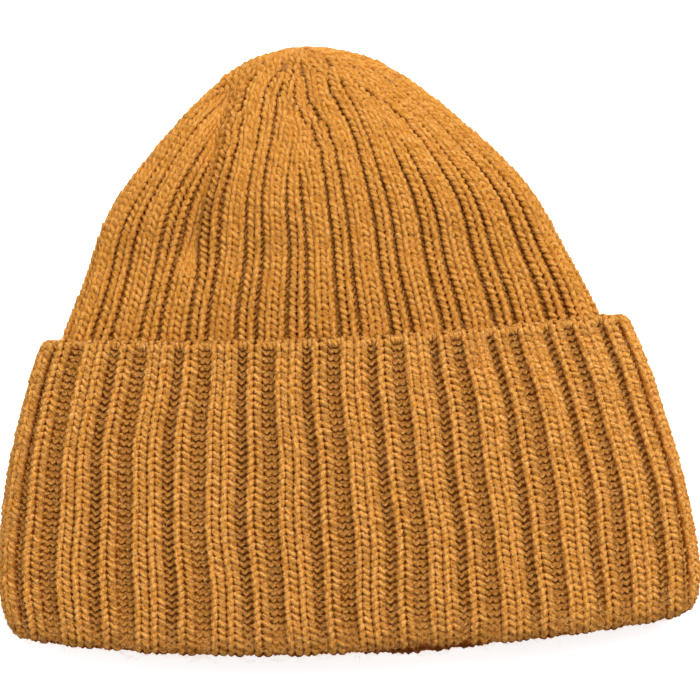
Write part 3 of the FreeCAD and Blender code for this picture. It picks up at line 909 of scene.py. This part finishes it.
class BEANIE_OT_cuff(bpy.types.Operator):
    """Knit the turned-up cuff, purl side out, from its free edge down to the fold"""

    bl_idname = "beanie.cuff"
    bl_label = "Turned-up cuff"

    def execute(self, context):
        cloth, yarn, material = cloth_of(context), context.scene.beanie_yarn, rib_finish(context)
        for n, (first, last) in enumerate(spans(np.linspace(2, CUFF, 5)), 1):
            piece = knit(f"cuff_courses_{n}", cloth, yarn, first, last, FINE, material)
            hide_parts("turned_up_cuff")
        return {"FINISHED"}


class BEANIE_OT_rim(bpy.types.Operator):
    """Curl the cast-on courses over the cuff's free edge"""

    bl_idname = "beanie.rim"
    bl_label = "Cast-on rim"

    def execute(self, context):
        cloth, yarn = cloth_of(context), context.scene.beanie_yarn
        # deep 0.6 paints less shade between the ribs here, so the rim, which faces up to the light, is
        # painted lighter.
        material = finish_of(context, "rim_wool", deep=0.6)
        piece = knit("cast_on_rim", cloth, yarn, -RIM + 1, 1, FINE, material)
        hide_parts("cast_on_edge")
        return {"FINISHED"}


class BEANIE_OT_fold(bpy.types.Operator):
    """Roll the cloth round the mouth from the cuff to the inner band"""

    bl_idname = "beanie.fold"
    bl_label = "Fold at the mouth"

    def execute(self, context):
        cloth, yarn = cloth_of(context), context.scene.beanie_yarn
        piece = knit("mouth_fold", cloth, yarn, CUFF + 1, CUFF + ROLL, FINE, rib_finish(context))
        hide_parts("cuff_fold")
        return {"FINISHED"}


class BEANIE_OT_band(bpy.types.Operator):
    """Knit the inner band that lies behind the cuff"""

    bl_idname = "beanie.band"
    bl_label = "Inner band"

    def execute(self, context):
        cloth, yarn, material = cloth_of(context), context.scene.beanie_yarn, rib_finish(context)
        start, stop = CUFF + ROLL + 1, LAST - CROWN
        for n, (first, last) in enumerate(spans((start, (start + stop) // 2, stop)), 1):
            piece = knit(f"band_courses_{n}", cloth, yarn, first, last, COARSE, material)
            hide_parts("inner_band")
        return {"FINISHED"}


class BEANIE_OT_crown(bpy.types.Operator):
    """Knit the crown with its seven darts up to the gathered top"""

    bl_idname = "beanie.crown"
    bl_label = "Crown"

    def execute(self, context):
        cloth, yarn = cloth_of(context), context.scene.beanie_yarn
        material = finish_of(context, "crown_wool", speckle=0.4)
        cuts = [LAST - below for below in (CROWN - 1, 46, 35, 24, 12, 0)]
        for n, (first, last) in enumerate(spans(cuts), 1):
            piece = knit(f"crown_courses_{n}", cloth, yarn, first, last, FINE, material)
            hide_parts("crown_knit")
        return {"FINISHED"}


class BEANIE_OT_draw(bpy.types.Operator):
    """Draw the last stitches together at the top with a small ring of yarn and a knot across it"""

    bl_idname = "beanie.draw"
    bl_label = "Gathered top"

    def execute(self, context):
        cloth = cloth_of(context)
        hole, normal = cloth.at(np.full(48, float(LAST)), np.arange(48) / 48)
        middle = hole.mean(0)
        axis = unit(normal.mean(0))
        u = unit(np.cross(axis, [0.0, 0.0, 1.0]))
        w = np.cross(u, axis)

        # The ring runs up and down, in and out, once for every dart.
        count, sides = 120, 8
        turn = 2 * np.pi * np.arange(count) / count
        reach = (1.9 + 0.35 * np.cos(DART_COUNT * turn))[:, None]
        rise = (0.9 + 0.5 * np.sin(DART_COUNT * turn + 1.0))[:, None]
        path = middle + axis * rise + reach * (u * np.cos(turn)[:, None] + w * np.sin(turn)[:, None])
        tube = closed_tube(path, np.tile(axis, (count, 1)), np.full(count, 1.15), sides)
        material = finish_of(context, "edge_wool", deep=0.6)
        piece = lone_yarn("draw_ring", tube, np.linspace(0, 14, count + 1), True, material)
        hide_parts("crown_draw_yarn")

        t = np.linspace(-1, 1, 40)[:, None]
        knot = middle + u * (1.6 * t) + w * (0.5 * np.sin(3 * t)) + axis * (1.5 * (1 - t**2) - 0.3)
        piece = strand("draw_knot", knot, 1.05, np.tile(axis, (len(t), 1)), sides, material)
        return {"FINISHED"}


class BEANIE_OT_seams(bpy.types.Operator):
    """Sew the seam chain up the back and weave in the yarn's end"""

    bl_idname = "beanie.seams"
    bl_label = "Seams and end"

    def chain(self, name, cloth, first, last, share, off, node, material):
        """A chain of slanted stitches, 1.4 courses each: a strand that swings 1.5 mm to each side once a
        stitch and dips into the cloth twice.
        """
        turns = int((last - first) / 1.4)
        t = np.linspace(0, 1, turns * 12)
        swing = 1.5 * np.sin(2 * np.pi * turns * t)
        place, normal = cloth.at(first + (last - first) * t, share + swing / 400)
        path = place + normal * (off + 0.7 * np.cos(4 * np.pi * turns * t))[:, None]
        piece = strand(name, path, 0.8, normal, 6, material)
        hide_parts(node)

    def execute(self, context):
        cloth, material = cloth_of(context), finish_of(context, "seam_wool", deep=0.5)
        self.chain("back_seam_chain", cloth, CUFF + ROLL + 5, LAST - 16, 0.975, -2.3, "back_seam", material)
        self.chain("cuff_seam_chain", cloth, 3, CUFF - 1, 0.979, 2.3, "cuff_seam", material)
        t = np.linspace(0, 1, 60)
        place, normal = cloth.at(LAST - 24 + 16 * t, 0.955 + 0.004 * np.sin(9 * t))
        path = place - normal * (2.6 + 0.4 * np.sin(40 * t))[:, None]
        piece = strand("woven_in_tail", path, 1.0, normal, 6, material)
        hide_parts("woven_in_end")
        return {"FINISHED"}


class BEANIE_OT_fuzz(bpy.types.Operator):
    """Raise short stray fibres from the wool, with a few long pale ones"""

    bl_idname = "beanie.fuzz"
    bl_label = "Stray fibres"

    RINGS, SIDES = 4, 3

    def hairs(self, name, cloth, rng, count, courses, lengths, thick, material):
        """Each hair is a parabola: it leaves the cloth at a point, runs along a random direction and bends
        back. None grows where the hat touches the table, below 5 mm.
        """
        j = rng.uniform(*courses, count)
        s = rng.uniform(0, 1, count)
        place, normal = cloth.at(j, s)
        clear = place[:, 2] > 5.0
        j, place, normal, count = j[clear], place[clear], normal[clear], int(clear.sum())
        out = normal * np.where(j < CUFF + ROLL / 2, -1.0, 1.0)[:, None]
        heading = unit(rng.normal(0, 1, (count, 3)))
        heading = unit(heading - (heading * out).sum(1, keepdims=True) * out)
        sway = np.cross(out, heading)
        size = rng.uniform(*lengths, count)[:, None]
        start = place + out * rng.uniform(1.0, 2.7, count)[:, None]
        rise = rng.uniform(0.1, 0.55, count)[:, None]
        bend = rng.normal(0, 0.35, count)[:, None]
        steps = np.linspace(0, 1, self.RINGS)
        path = (
            start[:, None]
            + heading[:, None] * (size * steps)[..., None]
            + out[:, None] * (size * rise * (steps * (1.5 - steps) * 1.3))[..., None]
            + sway[:, None] * (size * bend * steps**2)[..., None]
        )
        tangent = unit(np.gradient(path, axis=1))
        e1 = unit(np.cross(tangent, out[:, None] + 0 * tangent))
        e2 = np.cross(tangent, e1)
        angle = 2 * np.pi * np.arange(self.SIDES) / self.SIDES
        taper = np.array([0.6, 1.0, 0.9, 0.05])
        thin = (rng.uniform(*thick, count)[:, None] * taper)[..., None, None]
        around = e1[:, :, None] * np.cos(angle)[:, None] + e2[:, :, None] * np.sin(angle)[:, None]
        points = path[:, :, None] + around * thin
        points[..., 2] = np.maximum(points[..., 2], 0.05)
        each = self.RINGS * self.SIDES
        tube = tube_faces(self.RINGS, self.SIDES, False)[None]
        faces = (tube + each * np.arange(count)[:, None, None]).reshape(-1, 4)
        uv, ones = np.zeros((len(faces) * 4, 2)), np.ones(count * each)
        piece = make_mesh(name, points.reshape(-1, 3), faces, uv, 0.8 * ones, ones, material)

    def execute(self, context):
        cloth = cloth_of(context)
        rng = np.random.default_rng(41)
        material = hair_wool(context.scene.beanie_colour)
        short, fine = (1.5, 5.5), (0.022, 0.045)
        for name, count, courses, lengths, thick in (
            ("stray_fibres_cuff", 8000, (0, CUFF + ROLL), short, fine),
            ("stray_fibres_crown", 8500, (LAST - 52, LAST - 1), short, fine),
            ("stray_fibres_fold", 3000, (CUFF - 3, CUFF + 1), (1.2, 3.5), fine),
            ("stray_fibres_long", 900, (4, CUFF - 3), (4.0, 8.0), (0.035, 0.055)),
        ):
            self.hairs(name, cloth, rng, count, courses, lengths, thick, material)
        return {"FINISHED"}


class BEANIE_OT_stage(bpy.types.Operator):
    """Set the floor, the soft light and the camera straight above"""

    bl_idname = "beanie.stage"
    bl_label = "Stage"

    def execute(self, context):
        scene, stage = context.scene, context.scene.beanie_stage
        size = 3.0
        mesh = bpy.data.meshes.new("floor")
        corners = [(-size, -size, 0), (size, -size, 0), (size, size, 0), (-size, size, 0)]
        mesh.from_pydata(corners, [], [(0, 1, 2, 3)])
        mesh.materials.append(plain_floor())
        floor = bpy.data.objects.new("floor", mesh)
        scene.collection.objects.link(floor)

        world = bpy.data.worlds.new("studio")
        world.use_nodes = True
        world.node_tree.nodes["Background"].inputs[0].default_value = (1.0, 1.0, 1.0, 1.0)
        world.node_tree.nodes["Background"].inputs[1].default_value = stage.sky
        scene.world = world
        for name, place, power, wide in (
            ("overhead", (0.42, 0.76, 0.95), stage.lamp, 0.8),
            ("fill", (-0.3, 0.3, 1.1), stage.lamp * 0.2, 0.8),
        ):
            light = bpy.data.lights.new(name, "AREA")
            light.size = wide
            light.energy = power
            lamp = bpy.data.objects.new(name, light)
            lamp.location = place
            back = np.array(place)
            lamp.rotation_euler = (
                math.acos(back[2] / np.linalg.norm(back)), 0.0, math.atan2(back[0], -back[1])
            )
            scene.collection.objects.link(lamp)

        camera = bpy.data.cameras.new("camera")
        camera.lens = stage.lens
        away = stage.span * MM / (camera.sensor_width / camera.lens)
        eye = bpy.data.objects.new("camera", camera)
        eye.location = (0.0033, -0.0005, away + 0.016)
        eye.rotation_euler = (0.0, 0.0, -stage.turn)
        scene.collection.objects.link(eye)
        scene.camera = eye
        scene.view_settings.view_transform = "Standard"
        return {"FINISHED"}


class BEANIE_PT_panel(bpy.types.Panel):
    """The hat's settings and steps"""

    bl_idname = "BEANIE_PT_panel"
    bl_label = "Knit Beanie"
    bl_space_type = "VIEW_3D"
    bl_region_type = "UI"
    bl_category = "Beanie"

    def draw(self, context):
        for key, group in GROUPS.items():
            box = self.layout.box()
            for name in group.__annotations__:
                box.prop(getattr(context.scene, key), name)
        for step in STEPS:
            self.layout.operator(step.bl_idname)


GROUPS = {
    "beanie_shape": BeanieShape,
    "beanie_yarn": BeanieYarn,
    "beanie_colour": BeanieColour,
    "beanie_stage": BeanieStage,
}
STEPS = (
    BEANIE_OT_stage,
    BEANIE_OT_rim,
    BEANIE_OT_cuff,
    BEANIE_OT_fold,
    BEANIE_OT_band,
    BEANIE_OT_crown,
    BEANIE_OT_draw,
    BEANIE_OT_seams,
    BEANIE_OT_fuzz,
)


def register():
    for key, group in GROUPS.items():
        bpy.utils.register_class(group)
        setattr(bpy.types.Scene, key, bpy.props.PointerProperty(type=group))
    for cls in (*STEPS, BEANIE_PT_panel):
        bpy.utils.register_class(cls)


def unregister():
    for cls in (BEANIE_PT_panel, *reversed(STEPS)):
        bpy.utils.unregister_class(cls)
    for key, group in GROUPS.items():
        delattr(bpy.types.Scene, key)
        bpy.utils.unregister_class(group)


def main():
    """Registers the add-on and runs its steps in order."""
    register()
    for step in STEPS:
        area, name = step.bl_idname.split(".")
        getattr(getattr(bpy.ops, area), name)()


if __name__ == "__main__":
    main()
